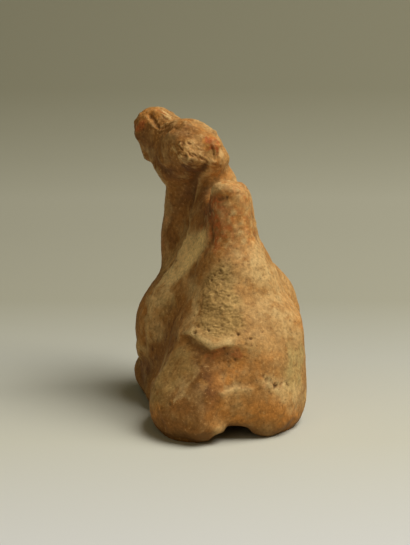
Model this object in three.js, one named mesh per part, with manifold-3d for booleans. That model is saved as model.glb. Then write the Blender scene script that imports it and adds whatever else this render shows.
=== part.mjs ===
// A worn terracotta camel, lying on its folded legs with its neck raised and its head turned a little
// to its left. It is one piece of fired clay, pressed round by hand, with a hollow scooped into its
// underside and an arch broken through the rim of that hollow at the rear.
// Millimetres, +Z up, +Y the way the camel faces, +X its right side. The origin is the middle of the
// underside, on the ground.
import * as THREE from "three";
import { mergeVertices } from "three/addons/utils/BufferGeometryUtils.js";
import Module from "manifold-3d";

const wasm = await Module();
wasm.setup();

// Driving sizes, in millimetres.
const HEIGHT = 117; // ground to the top of the raised muzzle
const HOLLOW_WIDTH = 36; // across the scooped underside
const HOLLOW_LENGTH = 56; // along the scooped underside
const HOLLOW_DEPTH = 13; // from the ground to the roof of the scoop
const ARCH_WIDTH = 18; // gap in the rim between the hind feet
const ARCH_HEIGHT = 5; // from the ground to the crown of that gap
const NET = 3.9; // spacing of the surface net at the feet, from where it narrows towards the head

// The figure is laid out in parts, 117 to its height, and every pose and proportion below is in parts.
const PART = HEIGHT / 117;
const SUNK = 3; // how far the figure reaches below the ground before its underside is cut flat

// A function of a point that is negative inside an ellipsoid and close to a distance near its skin.
// The turn is three angles in degrees, about X, then Y, then Z.
function lump(centre, radii, turn = [0, 0, 0]) {
  const spin = new THREE.Euler(...turn.map(THREE.MathUtils.degToRad), "ZYX");
  const toLocal = new THREE.Matrix4()
    .compose(
      new THREE.Vector3(...centre),
      new THREE.Quaternion().setFromEuler(spin),
      new THREE.Vector3(1, 1, 1),
    )
    .invert();
  const [rx, ry, rz] = radii;
  const q = new THREE.Vector3();
  return (p) => {
    q.copy(p).applyMatrix4(toLocal);
    const k0 = Math.hypot(q.x / rx, q.y / ry, q.z / rz);
    const k1 = Math.hypot(q.x / rx ** 2, q.y / ry ** 2, q.z / rz ** 2);
    return k1 > 0 ? (k0 * (k0 - 1)) / k1 : -Math.min(rx, ry, rz);
  };
}

// The same for a limb: a round bar whose radius runs evenly from one end to the other.
function limb(from, to, fromRadius, toRadius) {
  const a = new THREE.Vector3(...from);
  const along = new THREE.Vector3(...to).sub(a);
  const q = new THREE.Vector3();
  return (p) => {
    q.subVectors(p, a);
    const t = THREE.MathUtils.clamp(q.dot(along) / along.lengthSq(), 0, 1);
    return q.addScaledVector(along, -t).length() - THREE.MathUtils.lerp(fromRadius, toRadius, t);
  };
}

// Presses one shape onto another, with the joint smoothed over a width in parts.
function join(a, b, width) {
  return (p) => {
    const da = a(p);
    const db = b(p);
    const h = Math.max(width - Math.abs(da - db), 0) / width;
    return Math.min(da, db) - (h * h * width) / 4;
  };
}

// Scoops one shape out of another, with the lip smoothed over a width in parts.
function scoop(a, b, width) {
  return (p) => {
    const da = a(p);
    const db = -b(p);
    const h = Math.max(width - Math.abs(da - db), 0) / width;
    return Math.max(da, db) + (h * h * width) / 4;
  };
}

const pressOn = (body, pieces, width) => pieces.reduce((a, b) => join(a, b, width), body);
const scoopOut = (body, tools, width) => tools.reduce((a, b) => scoop(a, b, width), body);

// The barrel, with the back narrowing up like a bell behind and before, and a full rump.
function trunk() {
  const barrel = lump([0, 1, 24], [28, 40, 34]);
  const belly = lump([11.5, 4, 37], [20.5, 20, 24]);
  const loins = limb([1.5, -12, 36], [1.6, -10.5, 56], 19.5, 15.5);
  const croup = limb([1.6, -10.5, 56], [1.1, -9, 74], 15.5, 9.1);
  const withers = limb([-3, 14, 36], [-3, 13, 68], 26.5, 10);
  const chest = lump([-4, 29, 31], [20, 14, 28]);
  const rump = lump([-1, -23, 26], [22, 17, 22]);
  const buttocks = lump([-3, -29, 20], [22, 15, 17]);
  return pressOn(barrel, [belly, loins, croup, withers, chest, rump, buttocks], 7);
}

// The hump is a blunt post on the croup, pressed flat on top. A web of clay on its left runs forward
// to the nape.
function hump() {
  const post = limb([0.5, -9, 64], [0.5, -8.5, 88], 9.5, 8.3);
  const root = limb([-4.8, 0, 68], [-3.4, 2, 80], 6, 4.5);
  const web = join(root, limb([-3.7, -6, 82], [-3.9, 9, 82], 3.2, 3.2), 3);
  return join(scoop(post, lump([0, -8, 105.2], [14, 14, 12]), 3), web, 4);
}

// Haunch and foot of each hind leg. The left haunch widens in one mass down to the ground. The right
// one has its foot drawn in under the rump, behind a groove.
function leftHaunch() {
  const thigh = limb([-6, -22, 46], [-18.5, -20, 12], 10, 16.5);
  const foot = lump([-20.5, -29, 9], [14, 16.5, 13.5], [0, 0, -28]);
  return join(thigh, foot, 10);
}

function rightHaunch() {
  const thigh = limb([10, -18, 36], [11, -19, 14], 15, 16.5);
  const foot = lump([7.6, -31.5, 8], [18, 12.5, 11], [0, 0, 20]);
  return join(thigh, foot, 6);
}

function hockGroove() {
  return limb([6, -48.5, 30], [-3.5, -51, 4], 3, 5);
}

// Shoulder and folded foreleg of one side. The side is -1 on the left and 1 on the right.
function foreleg(side) {
  const shoulder = lump([-2 + 15 * side, 17, 29], [15, 18, 21], [0, 0, -6 * side]);
  const shin = limb([-2 + 19 * side, 31, 8], [-2 + 20.5 * side, 6, 8], 9.5, 9.5);
  return join(shoulder, shin, 2.5);
}

// The neck rises from the chest, with a thick mane down its nape and a groove between the two on the
// left.
function neck() {
  const root = limb([-5, 30, 38], [-5.2, 34, 64], 13, 11.5);
  const throat = limb([-5.2, 34, 64], [-5.5, 30, 89], 11.5, 10);
  const mane = lump([0, 17, 68], [11, 8, 18]);
  const nape = limb([3.2, 18.5, 80], [2.2, 21, 93], 11, 6.8);
  return scoop(pressOn(root, [throat, mane, nape], 5), limb([-15.5, 23, 60], [-11, 23, 93], 3.5, 3.5), 2);
}

// Skull, cheeks and muzzle, turned a little to the left.
function head() {
  const skull = lump([-7.8, 21, 104.8], [12, 12.5, 9.6], [0, 12, 0]);
  const occiput = lump([-4, 14, 100.5], [10.5, 8, 8.5], [0, 12, 0]);
  const cheeks = lump([-9, 30, 97], [11.5, 14, 11]);
  const bridge = limb([-9, 27, 104], [-14.5, 44, 105], 8.5, 8);
  const nose = lump([-15.5, 47, 108.5], [9, 13, 8.5], [0, 0, 22]);
  const lip = lump([-14.3, 43, 100], [7.5, 12, 7], [0, 0, 22]);
  return join(pressOn(skull, [occiput, cheeks, bridge], 5), join(nose, lip, 4), 3);
}

// The stumps of the two broken ears, behind the skull.
function ears() {
  return join(lump([-10.8, 8.8, 101.3], [7.2, 4.5, 4.2], [0, 25, 0]), lump([-1, 9, 104.5], [3.5, 4, 4.5]), 1);
}

// The dip between haunch and shoulder, from the root of the hump down to the ground. It is deeper on
// the left, where it leaves the haunch a straight steep flank.
function leftFlank() {
  const upper = limb([-13, -2, 78], [-28, -7, 54], 5, 10);
  const lower = limb([-28, -7, 54], [-38, -4, 26], 10, 11);
  return join(upper, lower, 3);
}

function rightFlank() {
  const upper = limb([13, -3, 78], [26.5, -9, 54], 4.5, 5);
  const lower = limb([26.5, -9, 54], [34, -9, 26], 5, 4.5);
  return join(upper, lower, 3);
}

// The rump is broken away above a ledge, on its left.
function ledge() {
  return join(limb([-20, -31, 39], [-11, -38, 35], 2, 2.5), limb([-11, -38, 35], [3, -38.5, 38], 2.5, 2), 2);
}

function brokenRump() {
  return lump([-10.5, -40.5, 53], [13, 9, 17], [-26, 0, -14]);
}

function figure() {
  let body = trunk();
  body = pressOn(body, [foreleg(-1), foreleg(1)], 5);
  body = join(body, neck(), 4);
  body = join(body, hump(), 6);
  body = pressOn(body, [leftHaunch(), rightHaunch()], 7);
  body = scoopOut(body, [leftFlank(), rightFlank()], 3);
  body = scoop(body, hockGroove(), 3);
  body = join(body, ledge(), 3);
  body = scoop(body, brokenRump(), 1.5);
  body = join(body, join(head(), ears(), 2), 3);
  return (p) => Math.max(body(p), -SUNK - p.z);
}

// The corners of a lattice that tapers and leans forward with height, so that its cells are fine round
// the head and coarse round the body.
function latticeOver() {
  const halfWidth = 46;
  const halfLength = 66;
  const narrowing = 0.59;
  const top = 117;
  const net = NET / PART;
  const columns = Math.ceil(halfWidth / net);
  const rows = Math.ceil(halfLength / net);
  const narrowAt = (z) => THREE.MathUtils.lerp(1, narrowing, THREE.MathUtils.clamp(z / top, 0, 1));
  const levels = [-SUNK - net];
  while (levels.at(-1) < top + net) levels.push(levels.at(-1) + net * narrowAt(levels.at(-1)));
  const corner = (i, j, k) => {
    const z = levels[k];
    const s = net * narrowAt(z);
    const lean = THREE.MathUtils.smoothstep(z, 65, 110);
    return new THREE.Vector3(-3 * lean + (i - columns) * s - 2, 32 * lean + (j - rows) * s, z);
  };
  return { size: [2 * columns + 1, 2 * rows + 1, levels.length], corner };
}

// The cell corners are numbered by bits, 1 for X, 2 for Y and 4 for Z. Each face lists its corners
// counter-clockwise from outside the cell.
const FACES = [
  [0, 2, 3, 1],
  [4, 5, 7, 6],
  [0, 1, 5, 4],
  [2, 6, 7, 3],
  [0, 4, 6, 2],
  [1, 3, 7, 5],
];

// Turns the zero level of a field into a closed triangle mesh. In every cell the places where the
// surface crosses the cell's edges are linked face by face into loops, and each loop is filled.
function skinOf(field) {
  const { size, corner } = latticeOver();
  const [nx, ny, nz] = size;
  const number = (i, j, k) => i + nx * (j + ny * k);
  const corners = [];
  const values = [];
  for (let k = 0; k < nz; k++)
    for (let j = 0; j < ny; j++)
      for (let i = 0; i < nx; i++) {
        const p = corner(i, j, k);
        corners.push(p);
        values.push(field(p));
      }

  const points = [];
  const crossings = new Map();
  const crossing = (a, b) => {
    const key = a < b ? a * corners.length + b : b * corners.length + a;
    if (!crossings.has(key)) {
      const t = THREE.MathUtils.clamp(values[a] / (values[a] - values[b]), 0.05, 0.95);
      crossings.set(key, points.push(corners[a].clone().lerp(corners[b], t)) - 1);
    }
    return crossings.get(key);
  };

  const triangles = [];
  for (let k = 0; k + 1 < nz; k++)
    for (let j = 0; j + 1 < ny; j++)
      for (let i = 0; i + 1 < nx; i++) {
        const cell = Array.from({ length: 8 }, (_, c) =>
          number(i + (c & 1), j + ((c >> 1) & 1), k + ((c >> 2) & 1)),
        );
        const inside = cell.map((c) => values[c] < 0);
        if (inside.every(Boolean) || !inside.some(Boolean)) continue;
        const next = new Map();
        for (const face of FACES) {
          face.forEach((c, n) => {
            const after = face[(n + 1) % 4];
            if (!inside[c] || inside[after]) return;
            // Walk back round the face to where the surface came in, which cuts off this inside corner.
            let m = n;
            while (inside[face[m]]) m = (m + 3) % 4;
            next.set(crossing(cell[c], cell[after]), crossing(cell[face[m]], cell[face[(m + 1) % 4]]));
          });
        }
        while (next.size) {
          const loop = [];
          let at = next.keys().next().value;
          while (next.has(at)) {
            loop.push(at);
            const to = next.get(at);
            next.delete(at);
            at = to;
          }
          for (let n = 1; n + 1 < loop.length; n++) triangles.push([loop[0], loop[n + 1], loop[n]]);
        }
      }
  return { points, triangles };
}

// Evens out the triangles: each point slides towards the middle of its neighbours, and is then put
// back on the surface along the field's slope.
function relax({ points, triangles }, field) {
  const rounds = 6;
  const step = 0.25;
  const neighbours = points.map(() => new Set());
  for (const [a, b, c] of triangles) {
    neighbours[a].add(b).add(c);
    neighbours[b].add(a).add(c);
    neighbours[c].add(a).add(b);
  }
  const slope = new THREE.Vector3();
  const probe = new THREE.Vector3();
  const along = (p, axis) => {
    probe.copy(p)[axis] += step;
    const ahead = field(probe);
    probe[axis] -= 2 * step;
    return (ahead - field(probe)) / (2 * step);
  };
  const settle = (p) => {
    slope.set(along(p, "x"), along(p, "y"), along(p, "z"));
    p.addScaledVector(slope, -field(p) / Math.max(slope.lengthSq(), 0.2));
  };
  for (let round = 0; round < rounds; round++) {
    const middles = neighbours.map((around) => {
      const middle = new THREE.Vector3();
      for (const n of around) middle.add(points[n]);
      return middle.divideScalar(around.size);
    });
    points.forEach((p, n) => {
      p.lerp(middles[n], 0.6);
      settle(p);
    });
  }
  points.forEach(settle);
}

function meshOf({ points, triangles }, scale) {
  const geometry = new THREE.BufferGeometry();
  geometry.setAttribute("position", new THREE.Float32BufferAttribute(points.flatMap((p) => p.toArray()), 3));
  geometry.setIndex(triangles.flat());
  return geometry.scale(scale, scale, scale);
}

// A closed three.js geometry as a solid that can be joined and cut.
function solidOf(geometry) {
  const bare = geometry.clone();
  bare.deleteAttribute("normal");
  bare.deleteAttribute("uv");
  const merged = mergeVertices(bare, 1e-4);
  return new wasm.Manifold(
    new wasm.Mesh({
      numProp: 3,
      vertProperties: merged.attributes.position.array,
      triVerts: new Uint32Array(merged.index.array),
    }),
  );
}

function geometryOf(solid) {
  const { vertProperties, triVerts } = solid.getMesh();
  const geometry = new THREE.BufferGeometry();
  geometry.setAttribute("position", new THREE.Float32BufferAttribute(vertProperties, 3));
  geometry.setIndex(new THREE.BufferAttribute(triVerts, 1));
  geometry.computeVertexNormals();
  return geometry;
}

// Everything below the ground, to cut the underside flat.
function ground() {
  const depth = HEIGHT;
  return new THREE.BoxGeometry(4 * HEIGHT, 4 * HEIGHT, depth).translate(0, 0, -depth / 2);
}

// The scoop under the belly: a squashed ball that is half sunk in the ground.
function underside() {
  return new THREE.SphereGeometry(1, 28, 14)
    .rotateX(Math.PI / 2)
    .scale(HOLLOW_WIDTH / 2, HOLLOW_LENGTH / 2, HOLLOW_DEPTH)
    .translate(-3 * PART, -2 * PART, 0);
}

// The arch through the rear rim, a low tunnel from the middle of the hollow to the open.
function arch() {
  const long = 58;
  return new THREE.CylinderGeometry(1, 1, 1, 20)
    .scale(ARCH_WIDTH / 2, long * PART, ARCH_HEIGHT)
    .translate(-6.5 * PART, (-2 - long / 2) * PART, 0);
}

// The point where a straight line from inside the clay comes out through its skin.
function outOf(field, inside, bearing) {
  const way = new THREE.Vector3(...bearing).normalize();
  const p = new THREE.Vector3(...inside);
  while (field(p) < -0.02) p.addScaledVector(way, Math.max(-field(p), 0.04) * 0.7);
  return p;
}

// A groove pressed into the skin along a row of points.
function grooves(points, radius) {
  return points.slice(1).map((to, n) => {
    const way = new THREE.Vector3().subVectors(to, points[n]);
    const bar = new THREE.CapsuleGeometry(radius, way.length(), 2, 6);
    bar.translate(0, way.length() / 2, 0);
    const lying = new THREE.Quaternion().setFromUnitVectors(new THREE.Vector3(0, 1, 0), way.normalize());
    bar.applyQuaternion(lying);
    return bar.translate(...points[n].toArray()).scale(PART, PART, PART);
  });
}

// Worn marks on the head: the line of the mouth round the muzzle, two nostrils, two eyes and a gash
// along the upper left of the muzzle.
function headMarks(field) {
  const middle = [-15, 45.5, 103.6];
  const bearingOf = (degrees, rise) => {
    const angle = THREE.MathUtils.degToRad(degrees + 112);
    return [Math.cos(angle), Math.sin(angle), rise];
  };
  const lips = [-84, -56, -28, 0, 28].map((turn) =>
    outOf(field, middle, bearingOf(turn, -0.02 - 0.001 * Math.abs(turn))),
  );
  const nostril = (turn) => {
    const at = outOf(field, [-16, 48, 107], bearingOf(turn, 0.42));
    return [at, at.clone().add(new THREE.Vector3(0, -1.4, 1.2))];
  };
  const eye = (turn) => {
    const bearing = bearingOf(turn, 0.1);
    const at = outOf(field, [-12, 34, 106.5], bearing).addScaledVector(new THREE.Vector3(...bearing), 0.7);
    return [at, at.clone().add(new THREE.Vector3(0.3, -1.2, 0))];
  };
  const gash = [
    [-21.6, 43.6, 114.5],
    [-19.4, 37.9, 112.3],
    [-17.6, 30.2, 110.4],
  ].map((p) => new THREE.Vector3(...p));
  return [
    ...grooves(lips, 0.8),
    ...grooves(nostril(-38), 1),
    ...grooves(nostril(38), 1),
    ...grooves(eye(-85), 1.7),
    ...grooves(eye(85), 1.7),
    ...grooves(gash, 1.7),
  ];
}

const clayField = figure();
const skin = skinOf(clayField);
relax(skin, clayField);
const clay = solidOf(meshOf(skin, PART));
const cuts = [ground(), underside(), arch(), ...headMarks(clayField)].map(solidOf);
const pressed = cuts.reduce((body, cut) => body.subtract(cut), clay);

// The origin goes to the middle of the figure's length and width, on the ground.
const extent = pressed.boundingBox();
const camel = pressed.translate(
  -(extent.min[0] + extent.max[0]) / 2,
  -(extent.min[1] + extent.max[1]) / 2,
  0,
);

const terracotta = new THREE.MeshStandardMaterial({
  name: "terracotta",
  color: 0xb98452,
  roughness: 0.92,
  metalness: 0,
});

const body = new THREE.Mesh(geometryOf(camel), terracotta);
body.name = "terracotta_camel";
const group = new THREE.Group();
group.add(body);

export default group;
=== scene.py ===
"""A worn terracotta camel: the fine clay skin over its solid, its fired colours, and a plain stage."""

import bmesh
import bpy
import numpy as np
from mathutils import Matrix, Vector


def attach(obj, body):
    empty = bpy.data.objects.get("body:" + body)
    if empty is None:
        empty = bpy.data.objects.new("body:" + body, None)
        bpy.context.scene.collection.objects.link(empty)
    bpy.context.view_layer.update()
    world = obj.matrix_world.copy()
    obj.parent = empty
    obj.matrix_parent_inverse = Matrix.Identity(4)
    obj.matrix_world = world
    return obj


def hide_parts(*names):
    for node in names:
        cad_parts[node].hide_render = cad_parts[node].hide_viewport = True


bl_info = {
    "name": "Terracotta Camel",
    "version": (1, 0, 0),
    "blender": (4, 5, 0),
    "location": "3D View > Sidebar > Camel",
    "description": "Gives a solid clay camel its worn and pitted skin, its colours and a stage",
    "category": "Object",
}

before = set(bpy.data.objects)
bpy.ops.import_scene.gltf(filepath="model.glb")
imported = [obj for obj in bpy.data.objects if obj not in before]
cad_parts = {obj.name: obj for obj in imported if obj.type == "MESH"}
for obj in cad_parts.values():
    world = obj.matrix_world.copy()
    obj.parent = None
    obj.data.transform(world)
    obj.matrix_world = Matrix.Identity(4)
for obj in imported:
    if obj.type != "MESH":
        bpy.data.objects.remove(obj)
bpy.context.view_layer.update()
SOLID = "terracotta_camel"
BODY = "root"

# The skin is worked in millimetres and set down in metres. Skin lower than ON_FLOOR lies on the floor.
MM = 0.001
ON_FLOOR = 0.02
# Between the heights of each pair the skin is kept crisper, turns to head, turns to hump, and leaves
# the rim that rests on the floor. The last pair lies along the figure, between the hump and the nape.
CRISP_ABOVE = (84, 92)
HEAD_ABOVE = (88, 96)
HUMP_ABOVE = (62, 74)
RIM_BELOW = (0, 1.2)
PAST_HUMP = (-6, -2)
HOLLOW_TOP = 16
# The seeds of the clay's lumps and of the random pits, how many those are, and their widths and depths.
CLAY_SEED = 7
PIT_SEED = 41
PIT_COUNT = 230
PIT_WIDTHS = (0.3, 0.6)
PIT_DEPTHS = (0.15, 0.45)

# The view that the figure is finished for. Places marked on it below are pixels of its frame, from the
# top left, and each is laid on the skin where that pixel sees it.
VIEW_AZIMUTH = -15
VIEW_ELEVATION = 13
VIEW_DISTANCE = 620
VIEW_TARGET = (-5.693, -7.094, 56.0)
FRAME_WIDTH = 410
FRAME_HEIGHT = 545
FOCAL_PIXELS = 1560
SENSOR_HEIGHT = 24
# What one pixel of the frame spans at the figure, in millimetres.
PIXEL = VIEW_DISTANCE / FOCAL_PIXELS

# The broken rump and the lip of the ledge under it.
RUMP_BREAK = [
    (205, 272), (214, 262), (222, 259), (231, 264), (236, 280), (243, 298), (246, 315), (245, 330),
    (232, 340), (216, 342), (202, 337), (195, 331), (195, 312), (198, 292),
]
LEDGE = [(189, 335), (195, 338), (204, 345.5), (211.3, 350.2), (218, 349.4), (228, 346.5)]
# Where the mesh is made finer: round the rump's break, above a row of the frame, and in a box round the
# ledge, given by its left, top, right and bottom, as far as the view sees them at all.
FINE_MARGIN = 5
HEAD_ROW = 168
LEDGE_PATCH = (180, 332, 256, 362)
BARELY_SEEN = 0.05
# The sharp front edge of the left haunch, the fold between the haunches, and the right foot's top edge.
HAUNCH_EDGE = [(176, 339), (168, 353), (159, 368), (152, 381), (147, 390)]
CLEFT = [(219, 352), (219, 368), (220, 385), (216, 403), (213, 418)]
FOOT_EDGE = [(222.5, 391), (229, 388.5), (237, 387), (246, 387.5)]
# The edges of the pale strip down the left flank and of the flank beside it, and a crease by the belly.
STRIP_EDGE = [(209, 226), (209, 235), (207.5, 242.5), (202, 252.5), (193, 264), (185, 276)]
NECK_EDGE = [(187, 222), (185, 232), (178, 243.5), (170, 256), (163, 267)]
FLANK_EDGE = [(160, 277), (153, 290), (149, 300), (145.5, 316), (145, 330), (147, 348)]
BELLY_LINE = [(285, 290), (291, 302), (295, 312), (298, 326)]
# The valley between the nape and the hump, which the view sees as one slope, with how far its forms
# are spread to fill it and where the filling fades to its sides, in millimetres.
VALLEY = [(210.5, 190), (209.5, 205), (208.5, 222), (206, 240), (199, 254), (191, 268), (184, 282)]
VALLEY_SPREAD = 6.5
VALLEY_SIDES = (4, 11)
# The head: broken ears, brow, the gash along the muzzle, the break at its top, chin and throat.
EAR_BREAK = [
    (173, 149), (177, 145), (185, 140), (195, 140), (203, 149), (209, 158), (221, 163), (224, 166),
    (208, 167), (199, 163), (188, 162), (178, 158),
]
UNDER_EAR = [(172, 151), (176, 157.5), (184, 163), (196, 166), (206, 169)]
RIGHT_EAR = [(211.5, 146), (212.7, 150), (214, 154.5)]
RIGHT_EAR_EDGE = [(219, 140), (223, 147), (225.5, 154)]
BROW = [(161, 126), (165, 122.6), (169.5, 121), (178, 119.8), (186, 120.4)]
UNDER_BROW = [(162, 130), (169, 128), (177, 128.5), (186, 130)]
GASH = [
    (145.5, 113.5), (149.5, 112.3), (154, 116), (158.5, 122.5), (160.5, 129), (156, 127.5), (150, 120.5),
]
GASH_RIM = [(143.8, 115), (149, 122), (155.5, 129), (159, 130.3), (162, 127)]
MUZZLE_BREAK = [(160, 109), (165, 108), (171, 111.5), (178.5, 118.5), (170, 119.5), (163, 120)]
CHIN = [(142, 151), (146, 156), (150.5, 159.5)]
THROAT = [(155, 163), (160, 167), (168, 171)]
# The nape's top and its left edge, the hump's rounded top, and the groove under its cap.
NAPE_LINE = [(208, 167.5), (214, 168), (222, 168)]
MANE_EDGE = [(208, 169), (200.7, 177), (195.7, 187), (193.5, 194)]
HUMP_TOP = [(211, 190), (215, 185), (221, 181), (228, 179)]
UNDER_CAP = [(212, 197), (219, 199.5), (226, 199.5), (231, 196)]
# Places that the worn form has elsewhere than the solid: the pixel, how many pixels it moves right
# and down, how many millimetres toward the view along the ground, and the reach in millimetres.
SHIFTS = [
    (144, 157, 4.0, -2.5, 0, 2.6),
    (137, 137, -3.0, 0, 0, 3.0),
    (136, 122, 1.5, 0, 0, 2.5),
    (171, 111, -5.0, 0.8, 0, 2.8),
    (213, 130, 6.5, -1.5, 0, 3.2),
    (226, 151, -5.0, 0, 0, 3.0),
    (243, 185, -3.0, 1.5, 0, 3.0),
    (247, 186, -2.5, 1.5, 0, 2.5),
    (286, 279, -2.5, 0, 0, 5.0),
    (303, 408, -4.5, 0, 0, 4.5),
    (296, 424, -2.0, -1.0, 0, 3.0),
    (146, 160, 3.0, 0, 0, 2.0),
    (141, 305, 2.0, 0, 0, 6.0),
    (159, 427, 3.0, -1.0, 0, 4.0),
    (180, 437, 0, -3.0, 0, 5.0),
    (207, 438, 1.5, 0.5, 0, 2.0),
    (257, 432, -3.0, 1.0, 0, 3.0),
    (286, 430, 0, -2.5, 0, 4.5),
    (208, 398, 0, 0, 3.2, 8.0),
    (205, 428, 0, 0, 3.0, 7.0),
    (180, 402, 0, 0, -1.6, 9.0),
    (222, 365, 0, 0, -1.6, 6.0),
    (243, 366, 0, 0, -1.4, 6.0),
]
# Swellings and hollows too broad for a line, each with its width and height in millimetres.
SWELLINGS = [
    ([(264, 238), (269, 250), (274, 260)], 6.0, -1.8),
    ([(285, 276), (292, 288), (296, 298)], 5.0, -1.3),
    ([(300, 306), (301, 320), (302, 335)], 6.0, 0.9),
    ([(221, 134), (226, 146)], 4.0, -1.5),
    ([(229, 150), (230, 158)], 4.0, -1.2),
    ([(200, 119), (211, 124)], 4.5, -0.9),
    ([(168, 107), (175, 112)], 3.0, -1.7),
    ([(139, 165), (159, 173), (163, 182)], 3.0, 1.3),
    ([(167, 194), (166, 208)], 4.0, 0.8),
    ([(251, 188), (254, 200), (257, 216)], 4.0, -1.0),
    ([(139, 347), (139, 355)], 3.0, 1.5),
    ([(136, 376), (138, 388)], 4.0, -1.3),
    ([(282, 428), (268, 433)], 4.0, 1.0),
    ([(307, 398), (305, 410)], 4.0, -1.2),
    ([(216, 430), (221, 428.5)], 2.2, 1.6),
    ([(213, 192), (219, 186)], 2.2, 0.5),
    ([(226, 262), (236, 268)], 5.0, 0.8),
    ([(240, 400), (262, 404), (280, 400)], 7.0, 0.7),
    ([(193, 131), (199, 132)], 2.0, -0.6),
]
# The pits that stand out: pixels, and their width and depth in millimetres.
PITS = [
    (237.5, 194, 0.55, 0.9), (238, 198, 0.5, 0.9), (241, 193, 0.4, 0.6), (226.5, 197.5, 0.7, 0.6),
    (228, 260, 0.5, 0.5), (195, 333.4, 0.6, 0.8), (208.3, 330.5, 0.5, 0.6), (238, 334.3, 0.7, 1.0),
    (250.7, 338.6, 0.6, 0.8), (228, 354.8, 0.6, 0.5), (223.4, 361.2, 0.4, 0.4), (235, 360.6, 0.45, 0.5),
    (197.3, 378, 0.5, 0.4), (169.5, 403.6, 0.6, 0.5), (176.4, 428.5, 0.5, 0.4), (203, 434, 0.6, 0.4),
    (275, 386.2, 0.65, 0.8), (270, 380.5, 0.45, 0.35), (284.4, 382.7, 0.4, 0.35),
    (296, 365.3, 0.5, 0.5), (301, 381, 0.45, 0.4), (157, 344, 0.5, 0.5), (165, 352, 0.5, 0.4),
]
# The cracked and chalky place over the right foot.
CRACK = [(263, 377), (269, 381), (274, 386), (279, 384.5), (286, 381.5), (291, 387)]
CHALKY = [(270, 378), (276, 388), (285, 386), (292, 392)]
CRACKED = [(262, 374), (270, 376), (276, 383), (287, 379), (291, 385), (282, 391), (271, 390), (265, 382)]
# Planes of the skin that get a tint, each marked below as the clay's own colour or as painted light or
# shade.
# The strip's pale plane: pale clay, and painted light where it faces up.
STRIP_PLANE = [
    (188, 233), (205, 229), (206.5, 237), (204.5, 244), (199, 254), (191, 264), (183, 275), (174, 284),
    (163, 282), (163, 272), (170, 257), (178, 244),
]
# The strip's brightest band, along its right edge: a painted highlight.
STRIP_LIT = [
    (200, 233), (206, 231), (207, 238), (204, 246), (198, 256), (190, 266), (180, 274), (184, 262),
    (194, 248),
]
# The mane's plane, which lies in shade: painted shade.
MANE_PLANE = [(196, 186), (209, 190), (210, 210), (209, 226), (187, 231), (190, 208)]
# The hump's left side, in the hump's shade: its red is partly the clay's own and partly painted shade.
HUMP_SIDE = [(211, 196), (220, 200), (222, 228), (215, 250), (207, 250), (210, 225)]
# The shaded left flank: painted shade.
FLANK_SHADE = [
    (176, 296), (185, 312), (176, 337), (160, 362), (150, 384), (146, 372), (152, 335), (162, 304),
]
# The olive place: the clay's own greyish colour.
OLIVE = [(284, 353), (303, 350), (304, 376), (298, 390), (290, 380), (281, 371)]
# The place under the ledge, where its shade falls: painted shade.
UNDER_LEDGE = [
    (192, 344), (203, 350), (232, 350), (238, 356), (230, 372), (221, 384), (212, 420), (198, 380),
]
# The low haunch, which turns down away from the light: painted shade.
HAUNCH_LOW = [(166, 384), (196, 376), (216, 384), (214, 432), (190, 446), (156, 432), (148, 408)]
# The shaded face and cheek under the brow: painted shade.
HEAD_SHADE = [
    (136, 118), (150, 126), (160, 132), (184, 126), (196, 132), (180, 140), (170, 148), (172, 162),
    (206, 172), (190, 184), (160, 182), (146, 160), (134, 136),
]
# The right foot's lit facet: painted light.
FOOT_LIT = [(224, 391), (246, 388), (288, 394), (286, 412), (262, 420), (226, 418), (218, 405)]
# The rows of the frame between which the clay turns browner towards the floor.
BROWNER_ROWS = (335, 375)
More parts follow.
